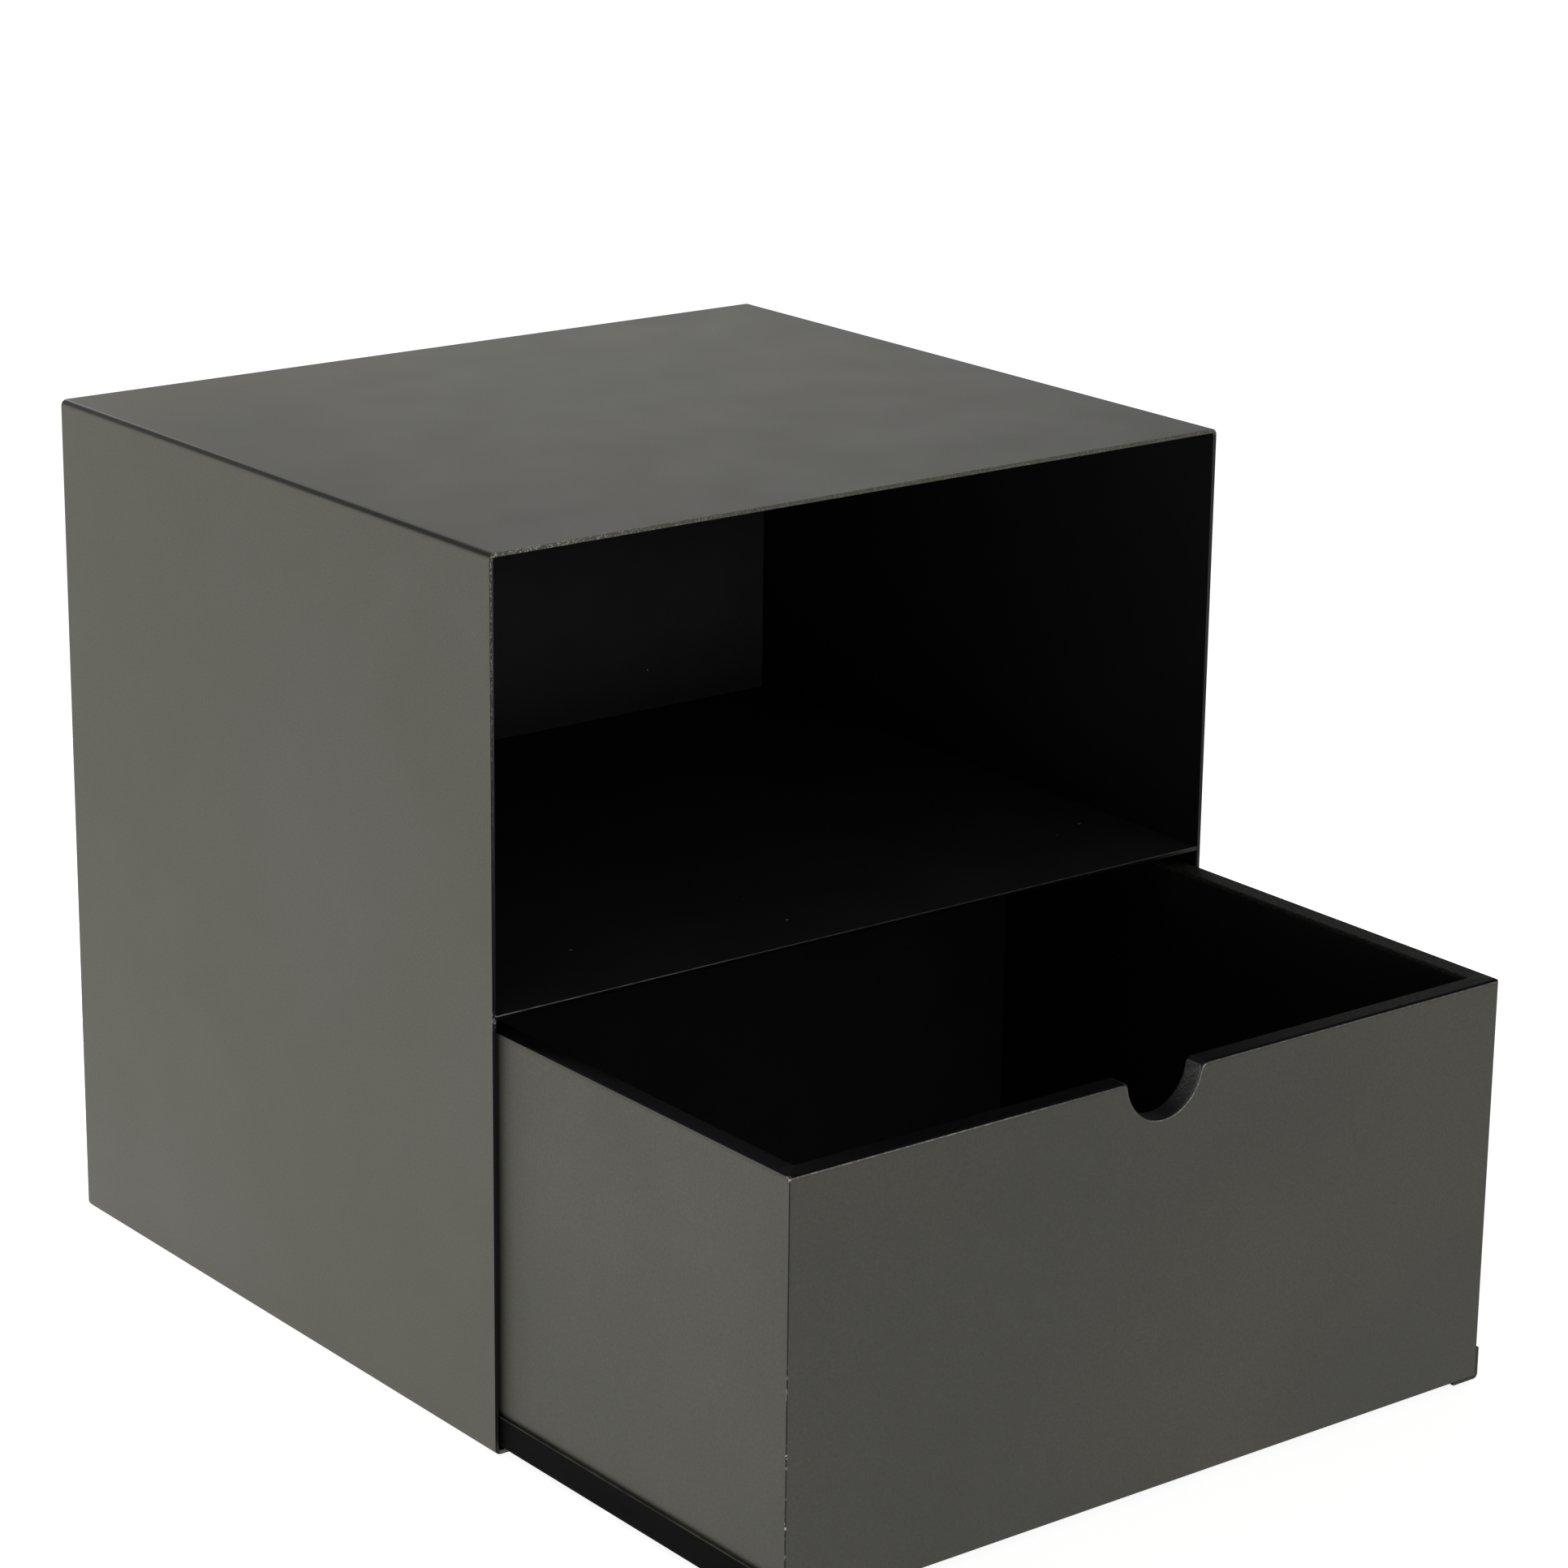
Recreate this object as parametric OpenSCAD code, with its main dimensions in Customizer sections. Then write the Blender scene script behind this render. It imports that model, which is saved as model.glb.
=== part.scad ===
// Steel storage cube with an open compartment above and one box drawer below.
// X runs across the front, -Y points out of the front, +Z is up.
// The origin is the middle of the casing's underside.

/* [Casing] */
// Outside width
casing_w = 400; // [320:1:480]
// Outside height
casing_h = 400; // [390:1:480]
// Outside depth
casing_d = 350; // [300:1:420]
// Thickness of the steel sheet
sheet_t = 2; // [1.5:0.1:3]
// Outside radius of the folded corners
bend_r = 3; // [2.5:0.1:5]
// Height of the shelf's top face above the underside
shelf_top = 200.5; // [200.5:0.5:230]
// Depth of the lip folded down along the shelf's back edge
shelf_lip = 14; // [8:1:25]
// How far the back panel sits inside the casing's back edge
back_recess = 15; // [10:1:25]
// Depth of the flanges folded back around the back panel
back_flange = 13; // [6:1:20]
// Size of the corner reliefs between those flanges
corner_relief = 5; // [3:0.5:12]

/* [Drawer] */
// How far the drawer stands open
drawer_open = 197; // [0:1:250]
// How far the drawer can open before it meets its stop
drawer_travel = 250; // [200:1:260]
// Outside width of the drawer box
drawer_w = 391; // [311:1:471]
// Outside depth of the drawer box
drawer_d = 328; // [278:1:398]
// Height of the drawer's boards
board_h = 188; // [150:1:188]
// Thickness of the drawer's boards
board_t = 10; // [9:0.5:12]
// Thickness of the bottom panel
panel_t = 5; // [3:0.5:6]
// Depth of the groove that holds the bottom panel
groove_depth = 5; // [3:0.5:6]
// Height of the groove above the boards' lower edge
groove_rise = 9; // [9:0.5:15]

/* [Finger notch] */
// Radius of the half-round notch in the drawer's front
notch_r = 20; // [12:0.5:30]
// Radius that eases the notch's upper corners
notch_ease = 3; // [0.5:0.25:4]

/* [Runners] */
// Width of each leg of the runner angles
runner_leg = 15; // [12:0.5:20]
// Thickness of the runner angles
runner_t = 1.5; // [1.5:0.1:1.8]
// Gap under the runners
runner_gap = 0.3; // [0.2:0.1:0.5]

/* [Fixings] */
// Dowel diameter
dowel_d = 5; // [4:0.5:6]
// Dowel length
dowel_l = 20; // [16:1:24]
// Dowels in each corner of the drawer
dowels_per_corner = 3; // [2:1:4]
// Runner screw diameter
screw_d = 3; // [2.5:0.1:3.5]
// Runner screw length
screw_l = 9; // [7:0.5:9]
// Screws in each runner
screws_per_runner = 4; // [2:1:5]
// Diameter of the closing buffers
buffer_d = 12; // [8:1:20]

/* [Hidden] */

$fn = 64;
grey = [0.39, 0.385, 0.355];
black = [0.07, 0.07, 0.075];
eps = 0.01;       // overrun of a cut past the face it opens
fit_gap = 0.05;   // radial gap around screws and dowels
touch_gap = 0.3;  // gap left between the drawer and its buffers or stop

// casing
inner_w = casing_w - 2*sheet_t;
inner_h = casing_h - 2*sheet_t;
front_y = -casing_d/2;
rear_y = casing_d/2;
back_inner_y = rear_y - back_recess - sheet_t;
inner_r = bend_r - sheet_t;

// drawer, where it stands open
drawer_front_y = front_y - drawer_open;
drawer_rear_y = drawer_front_y + drawer_d;
box_z = sheet_t + runner_gap + runner_t;
box_top = box_z + board_h;
side_l = drawer_d - 2*board_t;
side_mid_x = drawer_w/2 - board_t/2;
groove_z = box_z + groove_rise;
panel_w = drawer_w - 2*board_t + 2*groove_depth;
panel_d = side_l + 2*groove_depth;

// runners and their screws
runner_z = sheet_t + runner_gap;
head_r = screw_d*0.93;
head_h = head_r - screw_d/2;
head_sink = 0.1;
screw_point = 1.5;
screw_end_gap = 40;

// dowels
dowel_in_face = 0.3*dowel_l;
dowel_end_gap = 30;

// stop: a small angle on the casing floor that the drawer's back board meets
stop_w = 60;
stop_t = 1;
stop_h = 6.5;
stop_foot = 12;
stop_y = front_y + drawer_d - board_t - drawer_travel - touch_gap;

// closing buffers on the back panel
buffer_x = 0.3*casing_w;
buffer_z = box_z + board_h/2;
buffer_l = back_inner_y - (front_y + drawer_d) - touch_gap;
buffer_rim = 1;

// Upright slab with rounded corners, w wide and h high, from y0 back to y0 + d
module rounded_slab(w, h, z0, y0, d, r) {
    translate([0, y0 + d, z0]) rotate([90, 0, 0]) linear_extrude(d) union() {
        translate([-w/2 + r, 0]) square([w - 2*r, h]);
        translate([-w/2, r]) square([w, h - 2*r]);
        for (x = [-w/2 + r, w/2 - r], z = [r, h - r]) translate([x, z]) circle(r);
    }
}

// Angle section lying along +Y: one leg along +X, one up, rounded outer corner
module angle_bar(leg_x, leg_z, t, length) {
    translate([0, length, 0]) rotate([90, 0, 0]) linear_extrude(length) union() {
        translate([t, 0]) square([leg_x - t, t]);
        translate([0, t]) square([t, leg_z - t]);
        intersection() {
            translate([t, t]) circle(t);
            square([t, t]);
        }
    }
}

// Repeats its child at each dowel height
module at_dowel_heights() {
    step = (board_h - 2*dowel_end_gap)/(dowels_per_corner - 1);
    for (i = [0:dowels_per_corner - 1]) translate([0, 0, box_z + dowel_end_gap + i*step]) children();
}

// Repeats its child at each screw place along one runner, at the side board's middle
module at_screws(side) {
    step = (drawer_d - 2*screw_end_gap)/(screws_per_runner - 1);
    for (i = [0:screws_per_runner - 1])
        translate([side*side_mid_x, drawer_front_y + screw_end_gap + i*step, 0]) children();
}

// Cylinder along Y from y0 to y1
module y_rod(d, y0, y1) {
    translate([0, y1, 0]) rotate([90, 0, 0]) cylinder(d = d, h = y1 - y0);
}

// ---------- casing ----------

// Sleeve folded from one sheet and welded along its seam
module casing_shell() {
    color(grey) difference() {
        rounded_slab(casing_w, casing_h, 0, front_y, casing_d, bend_r);
        rounded_slab(inner_w, inner_h, sheet_t, front_y - 1, casing_d + 2, inner_r);
    }
}

// Shallow pan with four flanges to the rear, welded into the sleeve
module back_panel() {
    plate_back_y = back_inner_y + sheet_t;
    flange_w = inner_w - 2*corner_relief;
    flange_h = inner_h - 2*corner_relief;
    color(black) {
        rounded_slab(inner_w, inner_h, sheet_t, back_inner_y, sheet_t, inner_r);
        for (x = [-inner_w/2, inner_w/2 - sheet_t])
            translate([x, plate_back_y, sheet_t + corner_relief]) cube([sheet_t, back_flange, flange_h]);
        for (z = [sheet_t, casing_h - 2*sheet_t])
            translate([-flange_w/2, plate_back_y, z]) cube([flange_w, back_flange, sheet_t]);
    }
}

// Flat shelf, flush with the casing's front edge, with a lip down its back edge
module shelf() {
    color(black)
        translate([inner_w/2, back_inner_y, shelf_top]) rotate([180, 0, -90])
            angle_bar(back_inner_y - front_y, shelf_lip, sheet_t, inner_w);
}

module drawer_stop() {
    color(black)
        translate([stop_w/2, stop_y - stop_t, sheet_t]) rotate([0, 0, 90])
            angle_bar(stop_foot, stop_h, stop_t, stop_w);
}

// Rubber buffers that the closed drawer rests against
module closing_buffers() {
    color([0.12, 0.12, 0.12])
        for (x = [-buffer_x, buffer_x]) translate([x, back_inner_y, buffer_z]) rotate([90, 0, 0]) {
            cylinder(d = buffer_d, h = buffer_l - buffer_rim);
            translate([0, 0, buffer_l - buffer_rim])
                cylinder(d1 = buffer_d, d2 = buffer_d - 2*buffer_rim, h = buffer_rim);
        }
}

// ---------- drawer ----------

// Outline of the notch, looking at the front: half round with eased upper corners
module notch_outline() {
    ease_x = sqrt(pow(notch_r + notch_ease, 2) - pow(notch_ease, 2));
    ease_z = notch_ease*notch_r/(notch_r + notch_ease);
    circle(notch_r);
    difference() {
        translate([-ease_x, -ease_z]) square([2*ease_x, ease_z + 1]);
        for (x = [-ease_x, ease_x]) translate([x, -notch_ease]) circle(notch_ease);
    }
}

// Board across the drawer with a stopped groove and dowel holes in its inner face.
// face_y is that inner face; out is -1 for a board in front of it, +1 for one behind it.
module cross_board(face_y, out) {
    low_y = out < 0 ? face_y - board_t : face_y;
    groove_y = out < 0 ? face_y - groove_depth : face_y - 1;
    difference() {
        translate([-drawer_w/2, low_y, box_z]) cube([drawer_w, board_t, board_h]);
        translate([-panel_w/2, groove_y, groove_z]) cube([panel_w, groove_depth + 1, panel_t]);
        for (side = [-1, 1]) at_dowel_heights() translate([side*side_mid_x, face_y, 0])
            y_rod(dowel_d + 2*fit_gap, out < 0 ? -dowel_in_face - fit_gap : -1,
                  out < 0 ? 1 : dowel_in_face + fit_gap);
    }
}

module drawer_front() {
    color(grey) difference() {
        cross_board(drawer_front_y + board_t, -1);
        translate([0, drawer_front_y + board_t + 1, box_top]) rotate([90, 0, 0])
            linear_extrude(board_t + 2) notch_outline();
    }
}

module drawer_back() {
    color(black) cross_board(drawer_rear_y - board_t, 1);
}

// Side board between the front and back boards: side is -1 for left, +1 for right
module side_board(side) {
    dowel_in_end = dowel_l - dowel_in_face + fit_gap;
    y0 = drawer_front_y + board_t;
    y1 = drawer_rear_y - board_t;
    difference() {
        translate([side*side_mid_x - board_t/2, y0, box_z]) cube([board_t, side_l, board_h]);
        translate([-panel_w/2, y0 - 1, groove_z]) cube([panel_w, side_l + 2, panel_t]);
        at_dowel_heights() translate([side*side_mid_x, 0, 0]) {
            y_rod(dowel_d + 2*fit_gap, y0 - 1, y0 + dowel_in_end);
            y_rod(dowel_d + 2*fit_gap, y1 - dowel_in_end, y1 + 1);
        }
        at_screws(side) translate([0, 0, box_z - 1])
            cylinder(d = screw_d + 2*fit_gap, h = screw_l - runner_t + 1 + 2*fit_gap);
    }
}

module drawer_left_side() {
    color(grey) side_board(-1);
}

module drawer_right_side() {
    color(grey) side_board(1);
}

module drawer_bottom() {
    color(black) translate([-panel_w/2, drawer_front_y + board_t - groove_depth, groove_z])
        cube([panel_w, panel_d, panel_t]);
}

// Angle under and beside one lower edge of the drawer, drilled for its screws
module runner(side) {
    outer_x = drawer_w/2 + runner_t;
    difference() {
        if (side < 0)
            translate([-outer_x, drawer_front_y, runner_z])
                angle_bar(runner_leg, runner_leg, runner_t, drawer_d);
        else
            mirror([1, 0, 0]) translate([-outer_x, drawer_front_y, runner_z])
                angle_bar(runner_leg, runner_leg, runner_t, drawer_d);
        at_screws(side) {
            translate([0, 0, runner_z - eps])
                cylinder(r1 = head_r + head_sink + fit_gap + eps, r2 = screw_d/2 + fit_gap,
                         h = head_h + head_sink + eps);
            translate([0, 0, runner_z + head_h])
                cylinder(d = screw_d + 2*fit_gap, h = runner_t);
        }
    }
}

module left_runner() {
    color(black) runner(-1);
}

module right_runner() {
    color(black) runner(1);
}

// Countersunk screw pointing up, its head's face at z = 0
module screw() {
    slot_w = 0.6;
    slot_l = 3.4;
    slot_depth = 0.9;
    difference() {
        union() {
            cylinder(r1 = head_r, r2 = screw_d/2, h = head_h);
            translate([0, 0, head_h]) cylinder(d = screw_d, h = screw_l - head_h - screw_point);
            translate([0, 0, screw_l - screw_point]) cylinder(r1 = screw_d/2, r2 = 0.2, h = screw_point);
        }
        for (turn = [0, 90]) rotate([0, 0, turn])
            translate([-slot_l/2, -slot_w/2, -1]) cube([slot_l, slot_w, 1 + slot_depth]);
    }
}

module runner_screws() {
    color("silver") for (side = [-1, 1]) at_screws(side)
        translate([0, 0, runner_z + head_sink]) screw();
}

// Beech dowels between the cross boards and the side boards
module corner_dowels() {
    in_end = dowel_l - dowel_in_face;
    color("tan") for (side = [-1, 1]) at_dowel_heights() translate([side*side_mid_x, 0, 0]) {
        front_face = drawer_front_y + board_t;
        rear_face = drawer_rear_y - board_t;
        y_rod(dowel_d, front_face - dowel_in_face, front_face + in_end);
        y_rod(dowel_d, rear_face - in_end, rear_face + dowel_in_face);
    }
}

casing_shell();
back_panel();
shelf();
drawer_stop();
closing_buffers();
drawer_front();
drawer_left_side();
drawer_right_side();
drawer_back();
drawer_bottom();
left_runner();
right_runner();
runner_screws();
corner_dowels();
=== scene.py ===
"""Storage cube with an open compartment above a box drawer: the visible pieces and their finishes."""

import math

import bmesh
import bpy
from mathutils import Matrix, Vector


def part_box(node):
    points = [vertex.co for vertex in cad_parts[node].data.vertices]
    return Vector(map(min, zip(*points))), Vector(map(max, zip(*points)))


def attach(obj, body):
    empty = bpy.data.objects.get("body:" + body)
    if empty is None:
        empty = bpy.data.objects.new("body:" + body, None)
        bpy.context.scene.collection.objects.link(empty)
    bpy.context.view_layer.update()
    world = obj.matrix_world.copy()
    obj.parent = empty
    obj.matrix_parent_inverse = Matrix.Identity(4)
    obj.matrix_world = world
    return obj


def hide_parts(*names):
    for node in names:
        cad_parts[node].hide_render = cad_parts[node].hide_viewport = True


MM = 0.001

# ---------- sizes, in metres ----------

SHEET = 2.0 * MM            # steel of the casing, shelf and back panel
FOLD_R = 3.0 * MM           # outside radius of the casing's folds
PANEL_FOLD_R = 1.5 * MM     # outside radius of the back panel's folds
RELIEF = 5.0 * MM           # gap left at each corner between the back panel's flanges
SHEET_ARRIS = 0.25 * MM     # broken edge on cut sheet
BOARD = 10.0 * MM           # drawer boards
BOARD_ARRIS = 0.4 * MM      # rounding of a board's upright, outer and lower edges
TOP_ARRIS = 1.3 * MM        # softer rounding along the drawer's top edges and round the notch
NOTCH_R = 20.0 * MM         # half-round finger notch
NOTCH_EASE = 3.0 * MM       # radius that eases the notch's shoulders
SHOULDER_BLEND = 1.76 * NOTCH_EASE  # width over which the notch's edge turns into the top edge
RUNNER_T = 1.5 * MM         # black angles under the drawer's lower edges
RUNNER_FOLD_R = 2.4 * MM    # outside radius of a runner's fold
RUNNER_ARRIS = 0.2 * MM     # broken edge on a runner
RUNNER_SCREWS = 4           # screws up through each runner
SCREW_HEAD_R = 2.95 * MM    # countersink of a runner's screw hole
SCREW_BORE_R = 1.55 * MM    # bore of a runner's screw hole
STOP_T = 1.0 * MM           # sheet of the stop angle
STOP_CORNER_R = 2.0 * MM    # rounding of the stop's upper corners
STOP_ARRIS = 0.15 * MM      # broken edge on the stop
BUFFER_DOME = 1.2 * MM      # rounding of a buffer's face
BUFFER_RIM = 1.5 * MM       # ring round the dish in a buffer's face
BUFFER_DISH = 0.5 * MM      # depth of that dish
DISH_ROUND = 0.3 * MM       # rounding of the dish's edge

HAIR = 0.05 * MM            # two places closer than this count as the same
ALONG = 0.9                 # least share of a direction that lies along an axis it follows
ACROSS = 0.1                # greatest share along an axis it is square to
FUSE = 0.001 * MM           # points closer than this are merged
ROUND_SIDES = 48            # sides of a screw hole or a buffer
ROD_SIDES = 96              # sides of the rods that cut the notch

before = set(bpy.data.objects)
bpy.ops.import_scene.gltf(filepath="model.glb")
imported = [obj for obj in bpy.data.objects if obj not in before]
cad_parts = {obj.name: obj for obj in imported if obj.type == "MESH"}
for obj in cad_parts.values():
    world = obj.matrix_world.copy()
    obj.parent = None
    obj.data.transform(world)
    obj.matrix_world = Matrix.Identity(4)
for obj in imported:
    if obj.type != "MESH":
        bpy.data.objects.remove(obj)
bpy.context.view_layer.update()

casing_low, casing_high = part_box("casing_shell")
drawer_low, drawer_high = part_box("drawer_front")
shelf_low, shelf_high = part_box("shelf")
casing_front = casing_low.y
drawer_front = drawer_low.y


# ---------- modelling ----------

def deselect():
    if bpy.context.object and bpy.context.object.mode != "OBJECT":
        bpy.ops.object.mode_set(mode="OBJECT")
    bpy.ops.object.select_all(action="DESELECT")


def pick(piece):
    """Selects one piece alone."""
    deselect()
    piece.select_set(True)
    bpy.context.view_layer.objects.active = piece


def settle(piece):
    """Moves a piece's place and size into its mesh and leaves its object at the origin."""
    pick(piece)
    bpy.ops.object.transform_apply(location=True, rotation=True, scale=True)
    return piece


def block(name, low, high):
    """A block between two corners, to be shaped further."""
    deselect()
    low, high = Vector(low), Vector(high)
    bpy.ops.mesh.primitive_cube_add(size=1, location=(low + high) / 2, scale=high - low)
    piece = bpy.context.object
    piece.name = piece.data.name = name
    return settle(piece)


class Edit:
    """Edit mode on one piece, with nothing selected at the start."""

    def __init__(self, piece):
        self.piece = piece

    def __enter__(self):
        pick(self.piece)
        bpy.ops.object.mode_set(mode="EDIT")
        bpy.ops.mesh.select_all(action="DESELECT")
        return self

    def __exit__(self, *problem):
        bpy.ops.object.mode_set(mode="OBJECT")

    def faces(self, test):
        """Selects the faces whose middle and normal pass the test."""
        bpy.ops.mesh.select_mode(type="FACE")
        bpy.ops.mesh.select_all(action="DESELECT")
        mesh = bmesh.from_edit_mesh(self.piece.data)
        for face in mesh.faces:
            face.select_set(test(face.calc_center_median(), face.normal))
        bmesh.update_edit_mesh(self.piece.data)

    def edges(self, test):
        """Selects the edges whose middle and direction pass the test."""
        bpy.ops.mesh.select_mode(type="EDGE")
        bpy.ops.mesh.select_all(action="DESELECT")
        mesh = bmesh.from_edit_mesh(self.piece.data)
        for edge in mesh.edges:
            a, b = (v.co for v in edge.verts)
            edge.select_set(test((a + b) / 2, (b - a).normalized()))
        bmesh.update_edit_mesh(self.piece.data)

    def cut(self, place, normal):
        """Cuts the whole piece along a plane and keeps both sides."""
        bpy.ops.mesh.select_all(action="SELECT")
        bpy.ops.mesh.bisect(plane_co=place, plane_no=normal)

    def join_flat_faces(self):
        """Removes the edges inside flat stretches, which would get in the way of a wide bevel."""
        bpy.ops.mesh.select_all(action="SELECT")
        bpy.ops.mesh.dissolve_limited(angle_limit=math.radians(1))

    def bevel(self, width, steps):
        bpy.ops.mesh.bevel(offset=width, segments=steps, affect="EDGES", profile=0.5)

    def extrude(self, move):
        bpy.ops.mesh.extrude_region_move(TRANSFORM_OT_translate={"value": move})


def near(a, b, reach=HAIR):
    """True if two places along an axis are the same."""
    return abs(a - b) < reach


def apply_modifier(piece, kind, **settings):
    """Adds a modifier and applies it."""
    pick(piece)
    modifier = piece.modifiers.new(kind.title(), kind)
    for key, value in settings.items():
        setattr(modifier, key, value)
    bpy.ops.object.modifier_apply(modifier=modifier.name)


def break_edges(piece, width, steps, sharper_than):
    """Rounds every edge that turns by more than an angle in degrees."""
    apply_modifier(piece, "BEVEL", width=width, segments=steps, limit_method="ANGLE",
                   angle_limit=math.radians(sharper_than), miter_outer="MITER_ARC")


def finish_shading(piece, angle=40):
    """Merges what the bevels left on top of each other, then smooths the rounds beside flat faces."""
    with Edit(piece):
        bpy.ops.mesh.select_all(action="SELECT")
        bpy.ops.mesh.remove_doubles(threshold=FUSE)
        bpy.ops.mesh.dissolve_degenerate(threshold=FUSE)
    pick(piece)
    bpy.ops.object.shade_smooth_by_angle(angle=math.radians(angle))
    apply_modifier(piece, "WEIGHTED_NORMAL", mode="FACE_AREA", weight=50, keep_sharp=True)


def combine(piece, operation, tool):
    """Cuts the tool out of the piece or adds it, and removes the tool."""
    apply_modifier(piece, "BOOLEAN", operation=operation, object=tool, solver="EXACT")
    bpy.data.objects.remove(tool)


def drill(piece, place, bore_r, head_r, depth):
    """A countersunk hole from below, at a place on the piece's underside."""
    over = 0.2 * MM
    sink = head_r - bore_r
    deselect()
    bpy.ops.mesh.primitive_cone_add(vertices=ROUND_SIDES, radius1=head_r + over, radius2=bore_r,
                                    depth=sink + over,
                                    location=place + Vector((0, 0, (sink - over) / 2)))
    combine(piece, "DIFFERENCE", bpy.context.object)
    deselect()
    bpy.ops.mesh.primitive_cylinder_add(vertices=ROUND_SIDES, radius=bore_r, depth=depth,
                                        location=place + Vector((0, 0, depth / 2)))
    combine(piece, "DIFFERENCE", bpy.context.object)


def lying_rod(x, z, radius, low_y, high_y, sides=ROD_SIDES):
    """A rod along Y."""
    deselect()
    bpy.ops.mesh.primitive_cylinder_add(vertices=sides, radius=radius, depth=high_y - low_y,
                                        location=(x, (low_y + high_y) / 2, z),
                                        rotation=(math.radians(90), 0, 0))
    return bpy.context.object


def casing_shell():
    """Sleeve folded from one sheet: an open block with rounded long edges, given its thickness."""
    piece = block("folded_sleeve", casing_low, casing_high)
    with Edit(piece) as e:
        e.faces(lambda c, n: abs(n.y) > ALONG)
        bpy.ops.mesh.delete(type="FACE")
        e.edges(lambda c, d: abs(d.y) > ALONG)
        e.bevel(FOLD_R, steps=8)
    apply_modifier(piece, "SOLIDIFY", thickness=SHEET, offset=-1, use_even_offset=True,
                   use_quality_normals=True)
    break_edges(piece, SHEET_ARRIS, steps=2, sharper_than=60)
    finish_shading(piece, angle=35)
    return piece


def back_panel():
    """Plate with four flanges to the rear, a relief at each corner."""
    low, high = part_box("back_panel")
    plate_back = low.y + SHEET
    piece = block("recessed_back", low, (high.x, plate_back, high.z))

    def on_flange(c, n):
        edge_x = min(c.x - low.x, high.x - c.x)
        edge_z = min(c.z - low.z, high.z - c.z)
        beside = edge_x < SHEET and edge_z > RELIEF
        above_or_below = edge_z < SHEET and edge_x > RELIEF
        return n.y > ALONG and (beside or above_or_below)

    def on_rim(c, d):
        at_side = near(c.x, low.x) or near(c.x, high.x)
        at_end = near(c.z, low.z) or near(c.z, high.z)
        return near(c.y, low.y) and abs(d.y) < ACROSS and (at_side or at_end)

    with Edit(piece) as e:
        for inset in (SHEET, RELIEF):
            for x in (low.x + inset, high.x - inset):
                e.cut((x, 0, 0), (1, 0, 0))
            for z in (low.z + inset, high.z - inset):
                e.cut((0, 0, z), (0, 0, 1))
        e.faces(on_flange)
        e.extrude((0, high.y - plate_back, 0))
        e.edges(on_rim)
        e.bevel(PANEL_FOLD_R, steps=4)
    break_edges(piece, SHEET_ARRIS, steps=2, sharper_than=60)
    finish_shading(piece)
    return piece


def shelf():
    """Flat shelf with a lip folded down along its back edge."""
    piece = block("shelf_sheet", (shelf_low.x, shelf_low.y, shelf_high.z - SHEET), shelf_high)
    with Edit(piece) as e:
        e.cut((0, shelf_high.y - SHEET, 0), (0, 1, 0))
        e.faces(lambda c, n: n.z < -ALONG and c.y > shelf_high.y - SHEET)
        e.extrude((0, 0, shelf_low.z - (shelf_high.z - SHEET)))
        e.join_flat_faces()
        e.edges(lambda c, d: abs(d.x) > ALONG and near(c.y, shelf_high.y) and near(c.z, shelf_high.z))
        e.bevel(SHEET, steps=6)
    break_edges(piece, SHEET_ARRIS, steps=3, sharper_than=60)
    finish_shading(piece)
    return piece


def drawer_stop():
    """Small angle on the casing floor."""
    low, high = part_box("drawer_stop")
    piece = block("stop_angle", low, (high.x, high.y, low.z + STOP_T))
    with Edit(piece) as e:
        e.cut((0, low.y + STOP_T, 0), (0, 1, 0))
        e.faces(lambda c, n: n.z > ALONG and c.y < low.y + STOP_T)
        e.extrude((0, 0, high.z - low.z - STOP_T))
        e.join_flat_faces()
        e.edges(lambda c, d: abs(d.x) > ALONG and near(c.y, low.y) and near(c.z, low.z))
        e.bevel(STOP_T, steps=5)
        e.edges(lambda c, d: abs(d.y) > ALONG and near(c.z, high.z) and near(abs(c.x), high.x))
        e.bevel(STOP_CORNER_R, steps=5)
    break_edges(piece, STOP_ARRIS, steps=2, sharper_than=60)
    finish_shading(piece)
    return piece


def closing_buffer(x):
    """Round rubber buffer stuck to the back panel, domed towards the drawer."""
    low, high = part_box("closing_buffers")
    radius = (high.z - low.z) / 2
    piece = lying_rod(x, (low.z + high.z) / 2, radius, low.y, high.y, ROUND_SIDES)
    piece.name = piece.data.name = "closing_buffer_left" if x < 0 else "closing_buffer_right"
    settle(piece)
    with Edit(piece) as e:
        e.faces(lambda c, n: n.y < -ALONG)
        e.bevel(BUFFER_DOME, steps=4)
        e.faces(lambda c, n: n.y < -ALONG)
        bpy.ops.mesh.inset(thickness=BUFFER_RIM)
        e.extrude((0, BUFFER_DISH, 0))
        e.bevel(DISH_ROUND, steps=3)
    finish_shading(piece)
    return piece


def board(name, node):
    """A drawer board as a sharp block, with its lower and upper corner."""
    low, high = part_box(node)
    return block(name, low, high), low, high


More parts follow.
